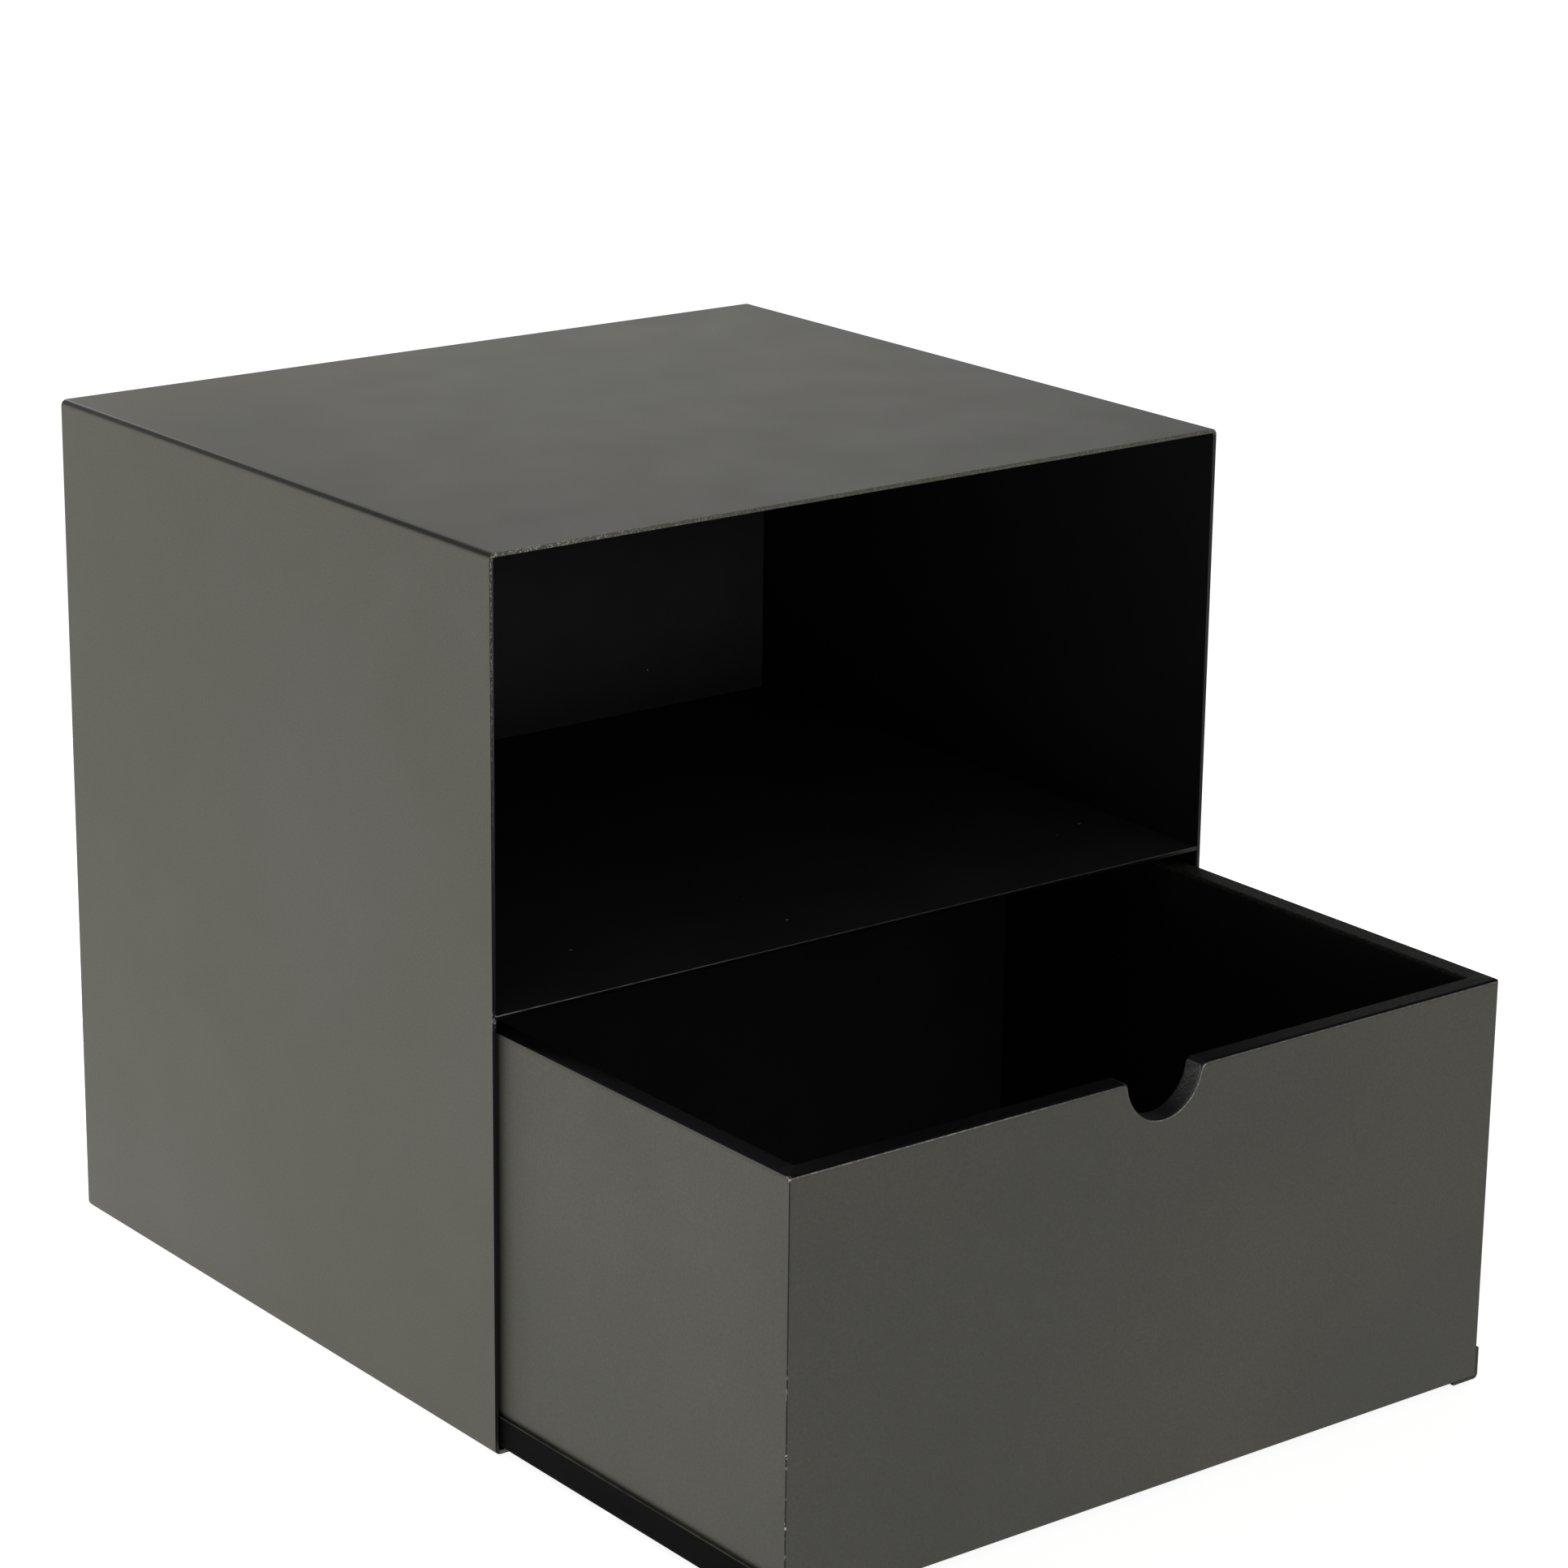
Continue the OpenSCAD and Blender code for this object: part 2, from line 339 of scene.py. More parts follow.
def drawer_front_board():
    """Full-width board with a half-round notch, its shoulders eased."""
    piece, low, high = board("front_board", "drawer_front")
    front, back = low.y - BOARD, high.y + BOARD
    # the shoulders: rounds of the easing radius, which touch both the notch and the top edge
    reach = NOTCH_R + NOTCH_EASE
    shoulder_x = math.sqrt(reach ** 2 - NOTCH_EASE ** 2)
    shoulder_z = high.z - NOTCH_EASE * NOTCH_R / reach
    cutter = block("notch", (-shoulder_x, front, shoulder_z), (shoulder_x, back, high.z + BOARD))
    for x in (-shoulder_x, shoulder_x):
        ease = lying_rod(x, high.z - NOTCH_EASE, NOTCH_EASE, front - BOARD, back + BOARD)
        combine(cutter, "DIFFERENCE", ease)
    combine(cutter, "UNION", lying_rod(0, high.z, NOTCH_R, front, back))
    combine(piece, "DIFFERENCE", cutter)
    side_inner = high.x - BOARD

    def on_upper_rim(c, d):
        """The top edges and the notch's rims; inside, only between the side boards."""
        on_face = near(c.y, low.y) or (near(c.y, high.y) and abs(c.x) < side_inner)
        on_notch = abs(d.y) < ACROSS and abs(c.x) < shoulder_x and c.z > high.z - NOTCH_R - 2 * HAIR
        on_top = abs(d.x) > ALONG and near(c.z, high.z)
        return on_face and (on_notch or on_top)

    with Edit(piece) as e:
        for x in (-side_inner, side_inner):
            e.cut((x, 0, 0), (1, 0, 0))
        e.edges(on_upper_rim)
        e.bevel(TOP_ARRIS, steps=4)
        e.edges(lambda c, d: near(abs(c.x), high.x) and abs(d.y) > ALONG and near(c.z, high.z))
        e.bevel(BOARD_ARRIS, steps=3)
        e.edges(lambda c, d: near(abs(c.x), high.x) and near(c.y, low.y) and abs(d.z) > ALONG)
        e.bevel(BOARD_ARRIS, steps=3)
        e.edges(lambda c, d: near(c.z, low.z) and near(c.y, low.y) and abs(d.x) > ALONG)
        e.bevel(BOARD_ARRIS, steps=3)
    finish_shading(piece)
    return piece


def drawer_side_board(side):
    """Board between the front and the rear board, rounded along its top edges."""
    name = "left_board" if side < 0 else "right_board"
    piece, low, high = board(name, "drawer_left_side" if side < 0 else "drawer_right_side")
    outer = low.x if side < 0 else high.x
    with Edit(piece) as e:
        e.edges(lambda c, d: abs(d.y) > ALONG and near(c.z, high.z) and near(c.x, outer))
        e.bevel(BOARD_ARRIS, steps=3)
        e.edges(lambda c, d: abs(d.y) > ALONG and near(c.z, high.z) and not near(c.x, outer, BOARD / 2))
        e.bevel(TOP_ARRIS, steps=4)
    finish_shading(piece)
    return piece


def drawer_back_board():
    """Full-width rear board, its inner top edge rounded only between the side boards."""
    piece, low, high = board("rear_board", "drawer_back")
    side_inner = high.x - BOARD
    with Edit(piece) as e:
        for x in (-side_inner, side_inner):
            e.cut((x, 0, 0), (1, 0, 0))
        e.edges(lambda c, d: abs(d.x) > ALONG and near(c.z, high.z)
                and (near(c.y, high.y) or (near(c.y, low.y) and abs(c.x) < side_inner)))
        e.bevel(TOP_ARRIS, steps=4)
        e.edges(lambda c, d: near(abs(c.x), high.x) and near(c.y, high.y) and abs(d.z) > ALONG)
        e.bevel(BOARD_ARRIS, steps=3)
        e.edges(lambda c, d: near(abs(c.x), high.x) and abs(d.y) > ALONG and near(c.z, high.z))
        e.bevel(BOARD_ARRIS, steps=3)
    finish_shading(piece)
    return piece


def runner(side):
    """Rolled angle under and beside one lower edge of the drawer, with countersunk holes."""
    low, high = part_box("left_runner" if side < 0 else "right_runner")
    name = "left_angle" if side < 0 else "right_angle"
    piece = block(name, low, (high.x, high.y, low.z + RUNNER_T))
    outer = low.x if side < 0 else high.x
    inward = -side
    with Edit(piece) as e:
        e.cut((outer + inward * RUNNER_T, 0, 0), (1, 0, 0))
        e.faces(lambda c, n: n.z > ALONG and abs(c.x - outer) < RUNNER_T)
        e.extrude((0, 0, high.z - low.z - RUNNER_T))
        e.join_flat_faces()
        e.edges(lambda c, d: abs(d.y) > ALONG and near(c.x, outer) and near(c.z, low.z))
        e.bevel(RUNNER_FOLD_R, steps=8)
    break_edges(piece, RUNNER_ARRIS, steps=2, sharper_than=60)
    screw_low, screw_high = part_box("runner_screws")
    first = screw_low.y + SCREW_HEAD_R
    step = (screw_high.y - screw_low.y - 2 * SCREW_HEAD_R) / (RUNNER_SCREWS - 1)
    for i in range(RUNNER_SCREWS):
        drill(piece, Vector((side * (drawer_high.x - BOARD / 2), first + i * step, low.z)),
              SCREW_BORE_R, SCREW_HEAD_R, 2 * RUNNER_T)
    finish_shading(piece)
    return piece


# ---------- colours and grain ----------

FINE_GRAIN = 0.03 * MM      # height of lacquer's grain
COARSE_GRAIN = 0.05 * MM    # height of the grain of rubber and raw beech

GREY = (0.087, 0.0866, 0.0662)
GREY_WARM = (0.092, 0.0882, 0.0715)
DRAWER_GREY = (0.081, 0.080, 0.067)
BLACK = (0.010, 0.010, 0.0108)
BLACK_STEEL = (0.030, 0.030, 0.030)
BLACK_BOARD = (0.020, 0.020, 0.0205)
REAR_BOARD_BLACK = (0.100, 0.100, 0.100)
RUNNER_BLACK = (0.0035, 0.0035, 0.0035)
FOLD_SHADE_BLACK = (0.008, 0.008, 0.009)
DARK_EDGE_BLACK = (0.008, 0.008, 0.008)
CORNER_SHADE_BLACK = (0.010, 0.010, 0.010)
TOP_EDGE_BLACK = (0.002, 0.002, 0.002)
TOP_EDGE_SHEEN = (0.115, 0.113, 0.098)
NOTCH_SHEEN = (0.17, 0.17, 0.165)
DUST = (0.6, 0.6, 0.58)
PRIMER_AND_HIGHLIGHT = (0.42, 0.41, 0.38)
BARE_PRIMER = (0.75, 0.74, 0.71)
SCRAPED = (0.3, 0.3, 0.3)
RUBBER = (0.02, 0.02, 0.021)
ZINC_DULL = (0.56, 0.56, 0.54)
ZINC_BRIGHT = (0.68, 0.67, 0.64)
BEECH_DARK = (0.50, 0.33, 0.19)
BEECH_LIGHT = (0.62, 0.45, 0.28)
FLOOR_WHITE = (0.86, 0.86, 0.86)
WHITE = (1, 1, 1, 1)


# ---------- finishes ----------

class Value:
    """A number carried by a shader socket, so that maths on it reads as plain expressions."""

    def __init__(self, finish, socket):
        self.finish = finish
        self.socket = socket

    def __add__(self, other):
        return self.finish.maths("ADD", self, other)

    __radd__ = __add__

    def __sub__(self, other):
        return self.finish.maths("SUBTRACT", self, other)

    def __rsub__(self, other):
        return self.finish.maths("SUBTRACT", other, self)

    def __mul__(self, other):
        return self.finish.maths("MULTIPLY", self, other)

    __rmul__ = __mul__

    def __neg__(self):
        return self * -1

    def __gt__(self, other):
        return self.finish.maths("GREATER_THAN", self, other)

    def __lt__(self, other):
        return self.finish.maths("LESS_THAN", self, other)

    def __abs__(self):
        return self.finish.maths("ABSOLUTE", self)


class Finish:
    """One material, with the piece's own coordinates at hand in metres."""

    def __init__(self, name, roughness, specular=0.5):
        self.material = bpy.data.materials.new(name)
        self.material.use_nodes = True
        self.tree = self.material.node_tree
        self.tree.nodes.clear()
        self.output = self.tree.nodes.new("ShaderNodeOutputMaterial")
        self.shader = self.tree.nodes.new("ShaderNodeBsdfPrincipled")
        self.tree.links.new(self.shader.outputs["BSDF"], self.output.inputs["Surface"])
        self.shader.inputs["Roughness"].default_value = roughness
        self.shader.inputs["Specular IOR Level"].default_value = specular
        self.place = self.tree.nodes.new("ShaderNodeTexCoord").outputs["Object"]
        split = self.node("ShaderNodeSeparateXYZ", {}, {"Vector": self.place})
        self.x, self.y, self.z = (Value(self, split.outputs[i]) for i in range(3))

    def node(self, kind, settings, values):
        made = self.tree.nodes.new(kind)
        for key, value in settings.items():
            setattr(made, key, value)
        for key, value in values.items():
            self.feed(made.inputs[key], value)
        return made

    def feed(self, socket, value):
        if isinstance(value, Value):
            value = value.socket
        if isinstance(value, bpy.types.NodeSocket):
            self.tree.links.new(value, socket)
        else:
            socket.default_value = value

    def maths(self, operation, a, b=0.0, c=0.0):
        made = self.node("ShaderNodeMath", {"operation": operation}, {0: a, 1: b, 2: c})
        return Value(self, made.outputs[0])

    def largest(self, *masks):
        top = masks[0]
        for mask in masks[1:]:
            top = self.maths("MAXIMUM", top, mask)
        return top

    def ramp(self, value, low, high):
        """0 at low, 1 at high, smooth between."""
        made = self.node("ShaderNodeMapRange", {"interpolation_type": "SMOOTHSTEP"},
                         {"Value": value, "From Min": low, "From Max": high})
        return Value(self, made.outputs["Result"])

    def noise(self, scale, detail=2.0, stretch=(1, 1, 1)):
        """Noise from 0 to 1, its grain about 1/scale metres wide."""
        where = self.node("ShaderNodeMapping", {}, {"Vector": self.place, "Scale": stretch})
        made = self.node("ShaderNodeTexNoise", {},
                         {"Vector": where.outputs[0], "Scale": scale, "Detail": detail})
        return Value(self, made.outputs["Fac"])

    def specks(self, scale, size, share):
        """Small round specks scattered through the space: the given share of cells holds one."""
        made = self.node("ShaderNodeTexVoronoi", {}, {"Vector": self.place, "Scale": scale})
        pick = self.node("ShaderNodeSeparateColor", {}, {"Color": made.outputs["Color"]})
        distance = Value(self, made.outputs["Distance"])
        inside = 1 - self.ramp(distance, 0.6 * size * scale, size * scale)
        return inside * (Value(self, pick.outputs[0]) < share)

    def mix(self, factor, a, b):
        """Colour a where factor is 0, b where it is 1."""
        made = self.node("ShaderNodeMix", {"data_type": "RGBA"}, {})
        self.feed(made.inputs[0], factor)
        for socket, colour in ((made.inputs[6], a), (made.inputs[7], b)):
            self.feed(socket, (*colour, 1) if isinstance(colour, tuple) else colour)
        return made.outputs[2]

    def shade(self, colour, amount):
        """The colour, darker below 1 and lighter above it."""
        made = self.node("ShaderNodeVectorMath", {"operation": "SCALE"}, {})
        self.feed(made.inputs[0], colour if not isinstance(colour, tuple) else Vector(colour))
        self.feed(made.inputs["Scale"], amount)
        return made.outputs[0]

    def bump(self, height, strength, distance):
        made = self.node("ShaderNodeBump", {},
                         {"Height": height, "Strength": strength, "Distance": distance})
        self.feed(self.shader.inputs["Normal"], made.outputs[0])

    def colour(self, colour):
        self.feed(self.shader.inputs["Base Color"], colour)

    def roughness(self, value):
        self.feed(self.shader.inputs["Roughness"], value)


def grey_lacquer(f, base, warm):
    """Grey-olive lacquer: cloudy at arm's length, finely grained close up."""
    clouds = f.noise(5, 3)
    mottle = f.noise(70, 3)
    grain = f.noise(850, 3)
    # about 1 on the whole, since each noise is about 0.5
    tone = 0.68 + 0.08 * clouds + 0.06 * mottle + 0.50 * grain
    return f.shade(f.mix(f.ramp(clouds, 0.35, 0.7), base, warm), tone), grain


def black_lacquer(f, base=BLACK):
    """Black lacquer with a little dust."""
    cloud = f.noise(14, 3)
    dust = f.largest(f.specks(40, 1.1 * MM, 0.1), f.specks(90, 0.5 * MM, 0.12))
    return f.mix(0.5 * dust, f.shade(base, 0.7 + 0.6 * cloud), DUST)


def rim_mist(f, to_side, to_top):
    """Black overspray from inside on the side walls' front rims, thinner towards the top left."""
    rim = (f.y < casing_front + 2 * HAIR) * (to_side < SHEET) * (to_top > FOLD_R)
    upwards = f.ramp(f.z, 0.2, 0.42)
    leftwards = 0.35 + 0.65 * f.ramp(-f.x, -0.1, 0.1)
    return rim * (1 - 0.5 * upwards * leftwards)


def rim_chips(f, to_side, to_top, to_front):
    """Small bright chips on the front rim: most near the top left corner, some beside the shelf."""
    chips = f.ramp(f.noise(1300, 2), 0.52, 0.60)
    on_rim = to_front < 0.35 * MM
    along_top = (0.25 + 0.75 * f.ramp(-f.x, 0.05, 0.2)) * (to_top < 1.3 * SHEET)
    mid_rim = abs(to_side - 0.4 * SHEET) < 0.25 * SHEET
    down_left = 0.7 * f.ramp(f.z, 0.24, 0.41) * (f.x < 0) * mid_rim
    by_shelf = (1 - f.ramp(abs(f.z - shelf_high.z + SHEET), 1 * MM, 5 * MM)) * (f.x < 0)
    at_corner = 1 - f.ramp(to_side + to_top, 1.5 * MM, 5 * MM)
    return chips * on_rim * f.largest(along_top, down_left, by_shelf, at_corner)


def casing_finish():
    """Grey outside, black inside, with painted shade along the folds, a painted highlight along the top
    front edge and worn chips on the front rim.
    """
    f = Finish("casing_lacquer", roughness=0.5, specular=0.25)
    outside, grain = grey_lacquer(f, GREY, GREY_WARM)
    to_side = casing_high.x - abs(f.x)
    to_top = casing_high.z - f.z
    to_floor = f.z - casing_low.z
    to_front = f.y - casing_front
    # folds: painted shade, darker round the middle of the bend
    bend_middle, bend_end = 0.59 * FOLD_R, 0.80 * FOLD_R
    at_top_fold = 1 - f.ramp(to_side + to_top, bend_middle, bend_end)
    at_floor_fold = 1 - f.ramp(to_side + to_floor, bend_middle, bend_end)
    fold = f.largest(at_top_fold, at_floor_fold)
    outside = f.mix(0.9 * fold, outside, FOLD_SHADE_BLACK)
    outside = f.mix(rim_mist(f, to_side, to_top), outside, DARK_EDGE_BLACK)
    # painted highlight: a light hairline just behind the top's front edge
    top_edge_highlight = (abs(to_front - SHEET_ARRIS) < 0.9 * SHEET_ARRIS) * (to_top < 0.5 * SHEET)
    outside = f.mix(0.18 * top_edge_highlight, outside, PRIMER_AND_HIGHLIGHT)
    outside = f.mix(0.8 * rim_chips(f, to_side, to_top, to_front), outside, PRIMER_AND_HIGHLIGHT)
    inside = (to_side > SHEET - HAIR) * (to_floor > SHEET - HAIR) * (to_top > SHEET - HAIR)
    f.colour(f.mix(inside, outside, black_lacquer(f)))
    f.roughness(0.47 + 0.08 * f.noise(25, 3) + 0.4 * fold)
    f.bump(grain, 0.25, FINE_GRAIN)
    return f.material


def black_steel_finish():
    """Black lacquered sheet with a painted highlight along its front edge, stronger at the left, and grey
    overspray at the right.
    """
    f = Finish("black_steel_lacquer", roughness=0.5, specular=0.07)
    to_front = f.y - casing_front
    # painted highlight along the front top edge, stronger to the left and uneven
    arris = (to_front < 1.2 * SHEET_ARRIS) * (f.z > shelf_high.z - 1.5 * SHEET_ARRIS)
    leftwards = 0.3 + 0.7 * f.ramp(-f.x, -0.02, 0.19)
    uneven = 0.4 + 0.6 * f.ramp(f.noise(150, 2), 0.3, 0.6)
    overspray_and_sheen = (to_front < HAIR) * f.ramp(f.x, 0.165, 0.198)
    # lighter on the shelf, and on the back panel just above it, fading upwards
    above_shelf = f.z - shelf_high.z
    on_panel_front = (f.y > shelf_high.y - MM) * (f.y < shelf_high.y + 0.5 * MM)
    lighter_above_shelf = (1 - f.ramp(above_shelf, 0.02, 0.16)) * (above_shelf > 0) * on_panel_front
    on_shelf = (abs(above_shelf) < 0.5 * MM) * (f.y < shelf_high.y)
    steel = f.shade(black_lacquer(f, BLACK_STEEL), 0.15 + 3.2 * lighter_above_shelf + 1.4 * on_shelf)
    steel = f.mix(arris * leftwards * uneven, steel, PRIMER_AND_HIGHLIGHT)
    f.colour(f.mix(0.6 * overspray_and_sheen, steel, GREY))
    f.roughness(0.45 + 0.12 * f.noise(30, 3))
    f.bump(f.noise(1600, 2), 0.2, FINE_GRAIN)
    return f.material


class DrawerPlaces:
    """How far a point of the drawer lies from its edges, in metres."""

    def __init__(self, f):
        self.to_front = f.y - drawer_front
        self.to_side = drawer_high.x - abs(f.x)
        self.to_top = drawer_high.z - f.z
        self.to_corner = self.to_front + self.to_side
        self.on_front = self.to_front < 0.3 * MM
        self.on_side = self.to_side < 0.2 * MM
        self.from_notch = f.maths("SQRT", f.x * f.x + self.to_top * self.to_top) - NOTCH_R
        # how far in from the top edge or the notch, which the shoulders join smoothly
        self.depth = f.maths("SMOOTH_MIN", self.to_top, self.from_notch, SHOULDER_BLEND)
        self.by_notch = (self.from_notch < 2 * TOP_ARRIS) * (abs(f.x) < NOTCH_R + NOTCH_EASE)


def corner_chips(f, at):
    """White chips on the left front corner: clustered low down, and a few at its top."""
    clusters = f.ramp(f.noise(110, 2), 0.42, 0.58)
    low_down = 1 - f.ramp(f.z, 0.075, 0.12)
    low_chips = 0.8 * f.ramp(f.noise(800, 2), 0.55, 0.62) * low_down * clusters * (at.to_corner < 0.6 * MM)
    near_top = 1 - f.ramp(at.to_corner + at.to_top, 1.2 * MM, 3 * MM)
    top_chips = 0.6 * f.ramp(f.noise(1200, 2), 0.5, 0.6) * near_top
    return f.largest(low_chips, top_chips) * (f.x < 0)


def arris_highlight(f, at):
    """Painted highlight: a thin light line on the front arris along its left half, and dots round the
    right of the notch.
    """
    dots = f.ramp(f.noise(700, 2), 0.48, 0.6)
    left_half = 1 - f.ramp(f.x, -0.1, -0.02)
    notch_right = at.by_notch * f.ramp(f.x, -14 * MM, 6 * MM)
    past_notch = f.ramp(f.x, NOTCH_R, NOTCH_R + 5 * MM)
    lit = 0.14 + 0.5 * left_half + 0.45 * notch_right + 0.16 * past_notch
    line = 1 - f.ramp(abs(at.depth - 0.72 * TOP_ARRIS), 0.12 * MM, 0.4 * MM)
    return (at.to_front < 0.6 * TOP_ARRIS) * line * lit * (0.55 + 0.75 * dots)


def drawer_inside(f, at, black, top_band):
    """Black lacquer, with painted sheen along the top edges right of the notch and in the notch."""
    board_grain = f.ramp(f.noise(1500, 3, (1, 0.35, 1)), 0.3, 0.7)
    half_w = drawer_high.x
    inner = f.mix(0.8 * top_band, black_lacquer(f, black), TOP_EDGE_BLACK)
    # painted sheen along the top edges, growing towards the right
    overspray_and_sheen = top_band * f.ramp(f.x, 0.05 * half_w, 0.8 * half_w) * (at.to_front > TOP_ARRIS)
    inner = f.mix(overspray_and_sheen * (0.12 + 0.38 * board_grain), inner, TOP_EDGE_SHEEN)
    # painted sheen on the notch's right-hand wall, over the board's open grain
    wall = (at.from_notch < 0.4 * TOP_ARRIS) * f.ramp(f.x, 2 * MM, 20 * MM) * (at.to_front < BOARD)
    inner = f.mix(wall * (0.2 + 0.5 * board_grain), inner, NOTCH_SHEEN)
    # the notch's left shoulder
    on_shoulder = at.by_notch * (at.depth < 0.8 * TOP_ARRIS) * (at.to_top < NOTCH_EASE)
    shoulder = on_shoulder * (at.to_front < 0.5 * BOARD) * (f.x < 0)
    return f.mix(0.35 * shoulder, inner, GREY_WARM)


def drawer_finish(name, black):
    """Grey outside, black inside and along the top edges, with chipped corners."""
    f = Finish(name, roughness=0.5, specular=0.2)
    at = DrawerPlaces(f)
    outside, grain = grey_lacquer(f, DRAWER_GREY, GREY_WARM)
    # painted shade: the corner edge between the front and the left side is darker
    corner = 1 - f.ramp(at.to_corner, BOARD_ARRIS, 1.6 * BOARD_ARRIS)
    outside = f.mix(0.8 * corner * (f.x < 0), outside, CORNER_SHADE_BLACK)
    # darker just above the runner angles
    above_runner = f.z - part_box("left_runner")[1].z
    dark_above_runner = (1 - f.ramp(above_runner, -0.5 * MM, 3.2 * MM)) * at.on_side
    outside = f.mix(0.85 * dark_above_runner, outside, DARK_EDGE_BLACK)
    # grey shows on the outer faces only, below the rounded top edge and outside the notch
    front_face = at.on_front * (at.depth > 0.7 * MM)
    side_face = at.on_side * (at.to_top > 0.3 * MM)
    top_band = (at.to_top < 1.5 * TOP_ARRIS) * (1 - at.by_notch)
    colour = f.mix(f.largest(front_face, side_face), drawer_inside(f, at, black, top_band), outside)
    colour = f.mix(arris_highlight(f, at), colour, PRIMER_AND_HIGHLIGHT)
    f.colour(f.mix(corner_chips(f, at), colour, BARE_PRIMER))
    f.roughness(0.5 + 0.08 * f.noise(25, 3) + 0.2 * top_band)
    f.bump(grain, 0.25, FINE_GRAIN)
    return f.material


def runner_finish():
    """Dull black angle with a painted highlight on its upper edge, its front end as grey as the front."""
    f = Finish("runner_black", roughness=0.6, specular=0.03)
    runner_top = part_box("left_runner")[1].z
    front_end = (f.y - drawer_front) < 0.3 * MM
    # painted highlight along the top of the upright leg, uneven
    ledge_highlight = f.ramp(f.z, runner_top - 2.5 * RUNNER_ARRIS, runner_top - RUNNER_ARRIS)
    ledge_highlight = ledge_highlight * (0.5 + 0.5 * f.ramp(f.noise(90, 3), 0.35, 0.65))
    scrape = f.ramp(f.noise(60, 3, (1, 0.02, 1)), 0.6, 0.8)
    colour = f.mix(0.004 * scrape, black_lacquer(f, RUNNER_BLACK), SCRAPED)
    colour = f.mix(ledge_highlight, colour, GREY)
    f.colour(f.mix(front_end, colour, DRAWER_GREY))
    f.roughness(0.6 + 0.2 * f.noise(90, 2, (1, 0.1, 1)))
    f.bump(f.noise(1500, 2), 0.2, FINE_GRAIN)
    return f.material


def rubber_finish():
    f = Finish("buffer_rubber", roughness=0.8, specular=0.3)
    f.colour(f.shade(RUBBER, 0.8 + 0.4 * f.noise(700, 2)))
    f.roughness(0.75 + 0.1 * f.noise(300, 2))
    f.bump(f.noise(2500, 2), 0.3, COARSE_GRAIN)
    return f.material


def zinc_finish():
    f = Finish("zinc_plate", roughness=0.32)
    f.shader.inputs["Metallic"].default_value = 1.0
    f.colour(f.mix(f.noise(400, 3), ZINC_DULL, ZINC_BRIGHT))
    f.roughness(0.26 + 0.16 * f.noise(900, 2))
    f.bump(f.noise(1800, 2), 0.2, FINE_GRAIN)
    return f.material


def beech_finish():
    """Raw beech, its grain along the dowel."""
    f = Finish("raw_beech", roughness=0.65)
    fleck = f.noise(900, 3, (1, 0.08, 1))
    f.colour(f.mix(f.ramp(fleck, 0.35, 0.65), BEECH_DARK, BEECH_LIGHT))
    f.roughness(0.6 + 0.15 * fleck)
    f.bump(fleck, 0.3, COARSE_GRAIN)
    return f.material


# ---------- pieces onto the frame ----------

def stand_for(piece, node, body, material):
    """Puts a finished piece in a node's place, on its body."""
    piece.data.materials.clear()
    piece.data.materials.append(material)
    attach(piece, body)
    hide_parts(node)


def refinish(node, material):
    """Keeps a node's shape and gives it a finish."""
    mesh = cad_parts[node].data
    mesh.materials.clear()
    mesh.materials.append(material)


casing_paint = casing_finish()
black_steel = black_steel_finish()
drawer_paint = drawer_finish("drawer_lacquer", BLACK_BOARD)
# the rear board's black is lighter than the other boards'
rear_board_paint = drawer_finish("rear_board_lacquer", REAR_BOARD_BLACK)
runner_paint = runner_finish()
rubber = rubber_finish()

stand_for(casing_shell(), "casing_shell", "casing", casing_paint)
stand_for(back_panel(), "back_panel", "casing", black_steel)
stand_for(shelf(), "shelf", "casing", black_steel)
stand_for(drawer_stop(), "drawer_stop", "casing", black_steel)
buffer_low, buffer_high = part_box("closing_buffers")
buffer_x = buffer_high.x - (buffer_high.z - buffer_low.z) / 2
for place_x in (-buffer_x, buffer_x):
    stand_for(closing_buffer(place_x), "closing_buffers", "casing", rubber)
stand_for(drawer_front_board(), "drawer_front", "drawer", drawer_paint)
stand_for(drawer_side_board(-1), "drawer_left_side", "drawer", drawer_paint)
stand_for(drawer_side_board(1), "drawer_right_side", "drawer", drawer_paint)
stand_for(drawer_back_board(), "drawer_back", "drawer", rear_board_paint)
stand_for(runner(-1), "left_runner", "drawer", runner_paint)
stand_for(runner(1), "right_runner", "drawer", runner_paint)
refinish("drawer_bottom", drawer_paint)
refinish("runner_screws", zinc_finish())
refinish("corner_dowels", beech_finish())


# ---------- studio ----------

MIDDLE = Vector((0, 0, casing_high.z / 2))  # middle of the casing, which the camera and lights aim at
WORLD_GLOW = 0.14
FLOOR_GLOW = 0.90
FLOOR_SIZE = 30

# the camera's angles in degrees, seen from the front, and its distance and offsets in metres
CAMERA_TURN, CAMERA_RISE, CAMERA_ROLL = -37.921, 17.161, 0.699
CAMERA_BACK, CAMERA_RIGHT, CAMERA_UP = 2.2035, 0.0706, 0.0215
LENS, SENSOR = 107.49, 36


def floor():
    """Bright sweep that shows as plain white."""
    deselect()
    bpy.ops.mesh.primitive_plane_add(size=FLOOR_SIZE, location=(0, 0, 0))
    plane = bpy.context.object
    plane.name = "studio_floor"
    f = Finish("studio_floor", roughness=0.9, specular=0.1)
    f.colour((*FLOOR_WHITE, 1))
    f.shader.inputs["Emission Color"].default_value = WHITE
    f.shader.inputs["Emission Strength"].default_value = FLOOR_GLOW
    plane.data.materials.append(f.material)


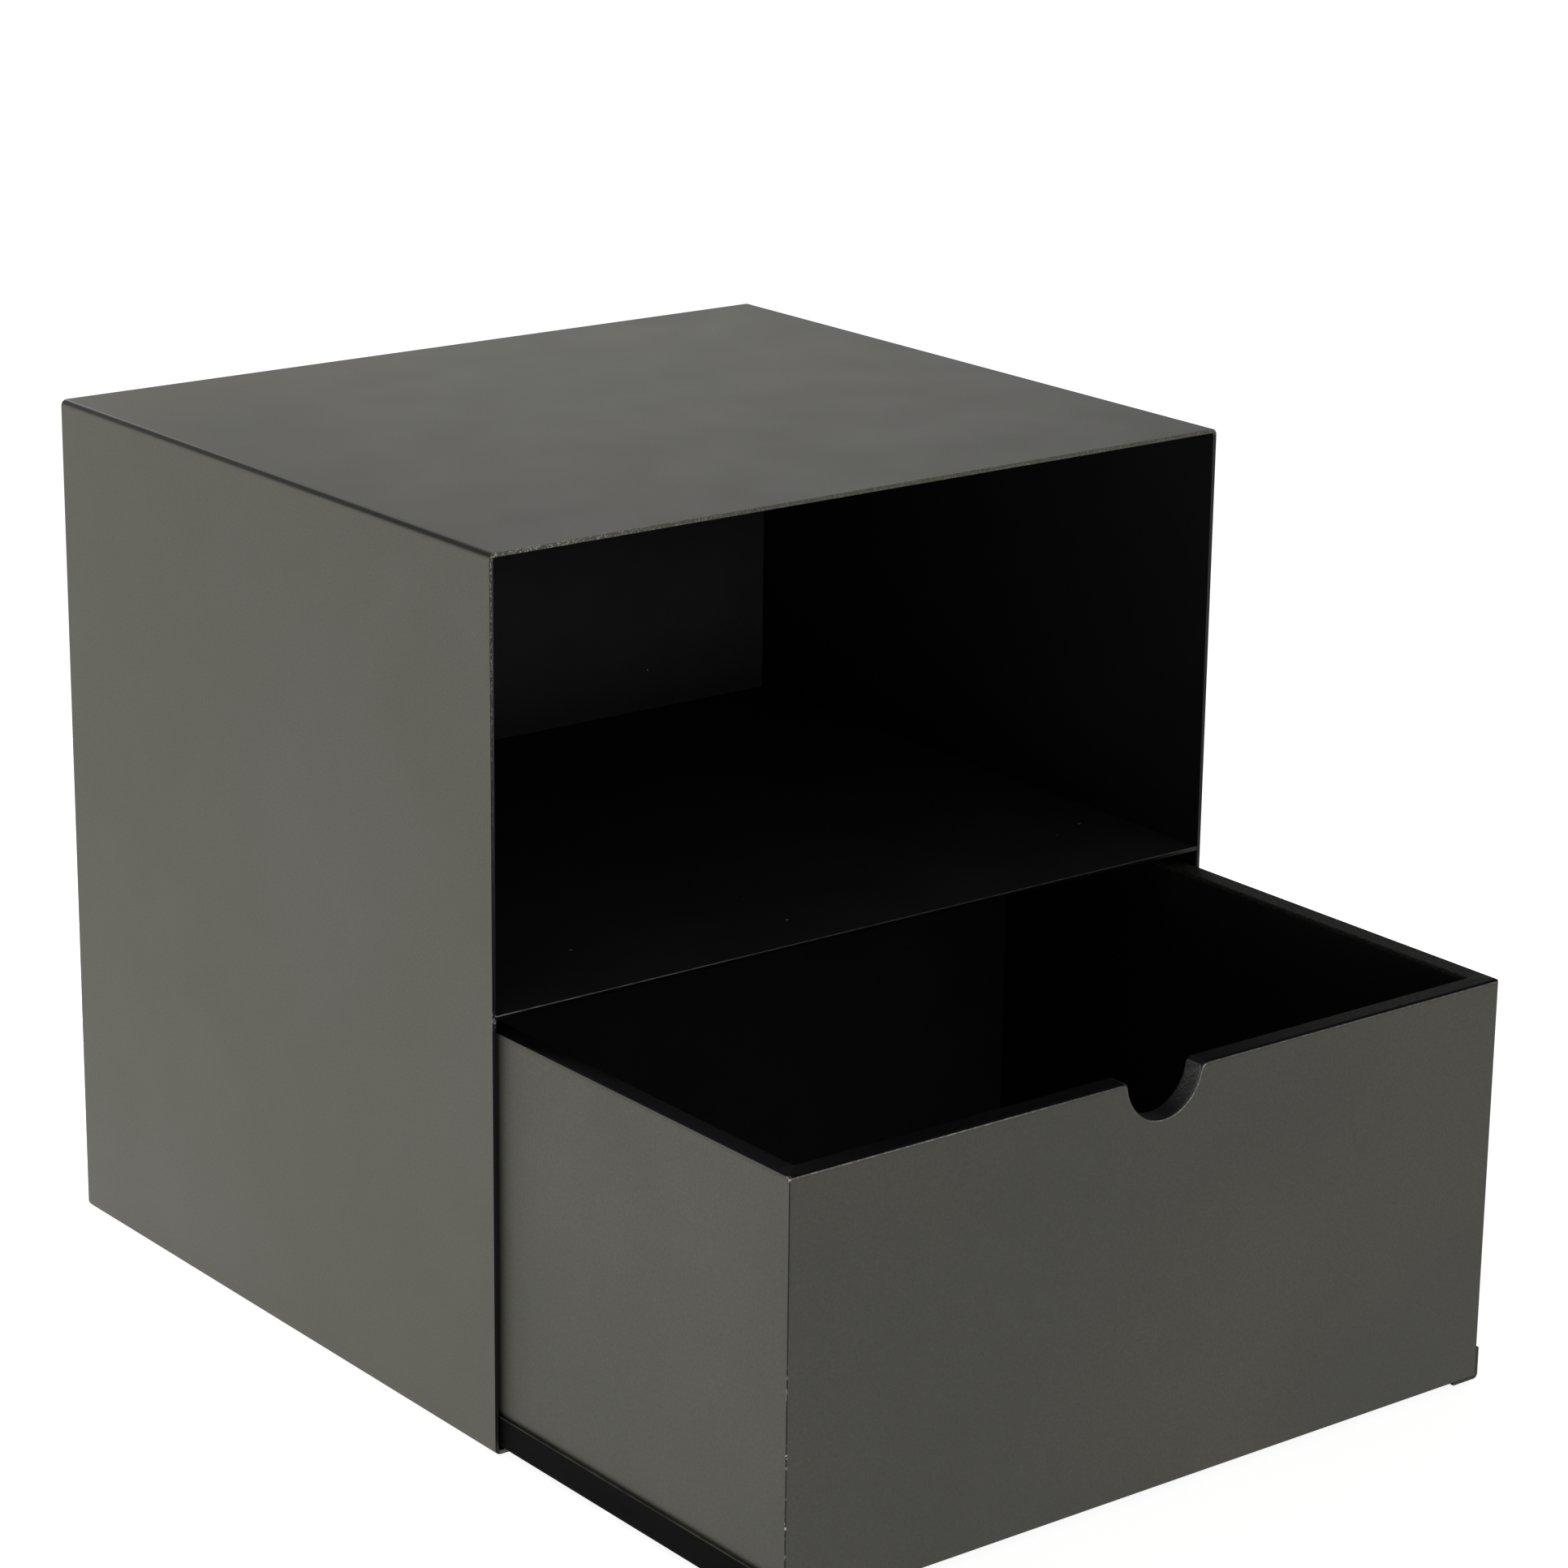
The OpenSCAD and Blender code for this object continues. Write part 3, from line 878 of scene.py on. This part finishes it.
def soft_light(name, place, aim, size, watts):
    """A soft box of a width and a height, turned towards its aim."""
    light = bpy.data.lights.new(name, "AREA")
    light.shape = "RECTANGLE"
    light.size, light.size_y = size
    light.energy = watts
    lamp = bpy.data.objects.new(name, light)
    bpy.context.scene.collection.objects.link(lamp)
    lamp.location = place
    lamp.visible_camera = False
    lamp.rotation_euler = (Vector(aim) - Vector(place)).to_track_quat("-Z", "Y").to_euler()


def studio():
    """Even white surroundings, two low lights from the left and two high ones from behind."""
    floor()
    world = bpy.data.worlds.new("studio")
    world.use_nodes = True
    glow = world.node_tree.nodes["Background"]
    glow.inputs["Color"].default_value = WHITE
    glow.inputs["Strength"].default_value = WORLD_GLOW
    bpy.context.scene.world = world
    soft_light("left_key", place=(-1.55, 0.6, 0.08), aim=MIDDLE, size=(1.4, 0.4), watts=3.8)
    soft_light("left_front", place=(-1.6, -0.9, 0.15), aim=MIDDLE, size=(1.0, 0.3), watts=2.7)
    soft_light("over_left", place=(-0.25, 0.62, 0.76), aim=(-0.05, 0.1, 0.4), size=(0.4, 0.3), watts=4.5)
    soft_light("over_right", place=(1.2, 1.4, 1.2), aim=MIDDLE, size=(1.0, 0.8), watts=4.3)
    bpy.context.scene.view_settings.view_transform = "Standard"


def camera():
    """Long lens from the front left, a little above."""
    turn, rise, roll = (math.radians(a) for a in (CAMERA_TURN, CAMERA_RISE, CAMERA_ROLL))
    back = Vector((math.sin(turn) * math.cos(rise), -math.cos(turn) * math.cos(rise), math.sin(rise)))
    level = Vector((math.cos(turn), math.sin(turn), 0))
    over = back.cross(level)
    right = level * math.cos(roll) + over * math.sin(roll)
    up = over * math.cos(roll) - level * math.sin(roll)
    data = bpy.data.cameras.new("camera")
    data.sensor_width = SENSOR
    data.lens = LENS
    cam = bpy.data.objects.new("camera", data)
    bpy.context.scene.collection.objects.link(cam)
    cam.location = MIDDLE + right * CAMERA_RIGHT + up * CAMERA_UP + back * CAMERA_BACK
    cam.rotation_mode = "QUATERNION"
    cam.rotation_quaternion = Matrix((right, up, back)).transposed().to_quaternion()
    bpy.context.scene.camera = cam


studio()
camera()
